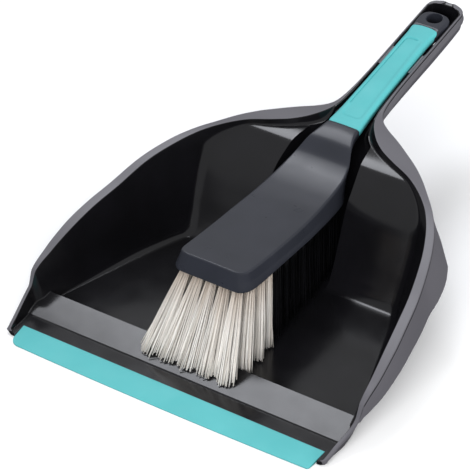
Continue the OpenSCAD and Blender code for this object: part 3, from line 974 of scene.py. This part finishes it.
def bristle_row(name, row, count, radius, material):
    rng = random.Random(1000 + row)
    store = ([], [], [])
    y0, z0 = row_y(row), head_under(row_y(row)) + 5
    forward = 28 * 0.74 ** (row - 1)
    outward = 0.48 * 0.8 ** (row - 1)
    spread = curve(tip_spread, row)
    for x0 in roots(row):
        for k in range(count):
            a = k * GOLDEN_TURN + rng.uniform(-0.2, 0.2)
            r = math.sqrt((k + 0.5) / count)
            wide = r * spread * rng.uniform(0.9, 1.08)
            stray = 1.35 if rng.random() < 0.04 else 1
            tip_x = x0 * (1 + outward) + wide * stray * math.cos(a) + rng.gauss(0, 0.35)
            tip_y = y0 - forward + 0.8 * wide * math.sin(a) + rng.gauss(0, 0.4)
            tip_z = inner_height(tip_x, tip_y) + 0.7 + abs(rng.gauss(0, 0.5))
            root = (x0 + 0.85 * HOLE_RADIUS * r * math.cos(a), y0 + 0.85 * HOLE_RADIUS * r * math.sin(a), z0)
            neck = (x0 + 3.1 * r * math.cos(a), y0 + 3.1 * r * math.sin(a), z0 - 5.2)
            bow = (rng.gauss(0, 0.35), rng.gauss(0, 0.35))
            shade = rng.random()
            filament(root, neck, radius, (0, 0), shade, store)
            filament(neck, (tip_x, tip_y, tip_z), radius, bow, shade, store)
    vertices, faces, marks = store
    obj = new_object(name, vertices, faces, material)
    layer = obj.data.color_attributes.new("filament", "FLOAT_COLOR", "POINT")
    for point, (shade, t) in zip(layer.data, marks):
        point.color = (shade, t, 0, 1)
    obj.data.polygons.foreach_set("use_smooth", [True] * len(faces))
    obj.data.update()
    return obj


# %% all the rows
made = 0
for row in range(1, CREAM_ROWS + BLACK_ROWS + 1):
    is_cream = row <= CREAM_ROWS
    kind = "cream" if is_cream else "black"
    number = row if is_cream else row - CREAM_ROWS
    tufts = bristle_row(f"{kind}_bristles_{number}", row, 84 if is_cream else 34,
                        0.38 if is_cream else 0.22, cream if is_cream else black)
    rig.ride(tufts, "brush")
    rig.replaces(tufts, f"{kind}_tufts_row_{number}")
    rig.slot(tufts, f"{kind}_bristle")
    made += len(tufts.data.polygons)
print("filament faces:", made)

# %% [markdown]
# ## Steel anchors
#
# The anchors are the one metal part. They sit at the bottom of the tuft holes and hardly show, so the
# CAD pieces stay and only get a drawn-wire finish: bright metal with fine streaks in its roughness.

# %% anchors
steel = bpy.data.materials.new("staple_steel")
steel.use_nodes = True
steel_nodes, steel_links = steel.node_tree.nodes, steel.node_tree.links
steel_shader = steel_nodes["Principled BSDF"]
steel_shader.inputs["Base Color"].default_value = (0.55, 0.56, 0.58, 1)
steel_shader.inputs["Metallic"].default_value = 1
steel_place = steel_nodes.new("ShaderNodeTexCoord")
streaks = steel_nodes.new("ShaderNodeTexNoise")
streaks.inputs["Scale"].default_value = 900
streak_range = steel_nodes.new("ShaderNodeMapRange")
streak_range.inputs["To Min"].default_value = 0.25
streak_range.inputs["To Max"].default_value = 0.5
steel_links.new(steel_place.outputs["Object"], streaks.inputs["Vector"])
steel_links.new(streaks.outputs["Fac"], streak_range.inputs["Value"])
steel_links.new(streak_range.outputs["Result"], steel_shader.inputs["Roughness"])
anchors = frame["nodes"]["tuft_staples"]
anchors.data.materials.clear()
anchors.data.materials.append(steel)

# %% [markdown]
# ## Floor and light
#
# Dark plastic shows its light more than its colour, so the room matters. A white room, together with the
# painted sheen of the matt outside's lighter grey, gives the rim its even grey. A large soft light hangs
# overhead and a little behind, where the sloping ramp mirrors it. A panel at the right and a fill at the
# front add brightness, but neither is seen in reflections. The floor is plain and pale to the camera, and
# dark in reflections and in the light it throws back.

# %% floor
floor_material = bpy.data.materials.new("pale_floor")
floor_material.use_nodes = True
floor_nodes, floor_links = floor_material.node_tree.nodes, floor_material.node_tree.links
floor_shader = floor_nodes["Principled BSDF"]
floor_shader.inputs["Roughness"].default_value = 0.8
floor_shader.inputs["Specular IOR Level"].default_value = 0.1
seen = floor_nodes.new("ShaderNodeLightPath")
floor_tone = floor_nodes.new("ShaderNodeMix")
floor_tone.data_type = "RGBA"
floor_tone.inputs["A"].default_value = (0.07, 0.07, 0.075, 1)
floor_tone.inputs["B"].default_value = (0.97, 0.97, 0.97, 1)
floor_links.new(seen.outputs["Is Camera Ray"], floor_tone.inputs["Factor"])
floor_links.new(floor_tone.outputs["Result"], floor_shader.inputs["Base Color"])
bpy.ops.mesh.primitive_plane_add(size=8)
floor_piece = bpy.context.object
floor_piece.name = "floor"
floor_piece.data.materials.append(floor_material)
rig.stage(floor_piece)

# %% light
room = bpy.data.worlds.new("white_room")
bpy.context.scene.world = room
room.use_nodes = True
room.node_tree.nodes["Background"].inputs["Color"].default_value = (0.97, 0.98, 1.0, 1)
room.node_tree.nodes["Background"].inputs["Strength"].default_value = 0.5


def soft_light(name, direction, distance, width, height, radiance, lies_along=(0, 0, 1)):
    data = bpy.data.lights.new(name, "AREA")
    data.shape = "RECTANGLE"
    data.size, data.size_y = width, height
    data.energy = radiance * math.pi * width * height
    light = bpy.data.objects.new(name, data)
    bpy.context.scene.collection.objects.link(light)
    way = Vector(direction).normalized()
    across = Vector(lies_along).cross(way).normalized()
    turn = Matrix((across, way.cross(across), way)).transposed()
    light.matrix_world = Matrix.Translation(way * distance) @ turn.to_4x4()
    return light


overhead = soft_light("overhead", (-0.39, 0.29, 0.87), 1.3, 0.5, 0.6, 6.2, (0.19, 0.52, -0.14))
overhead.data.color = (0.92, 0.94, 1.0)
right_panel = soft_light("right_panel", (0.86, 0.42, 0.28), 1.2, 0.8, 0.6, 6.0)
right_panel.visible_glossy = False
front_fill = soft_light("front_fill", (0.25, -0.85, 0.48), 1.5, 0.9, 0.7, 9.0)
front_fill.visible_glossy = False
bpy.context.scene.view_settings.view_transform = "Standard"

# %% [markdown]
# ## Finish
#
# Both boxes, the CAD model's and the visual model's, are written down side by side.

# %% sizes and finish
with open("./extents.json", "w") as out:
    json.dump({"cad": [list(v) for v in cad_bounds], "visual": [list(v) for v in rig.bounds()]}, out)
print(open("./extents.json").read())
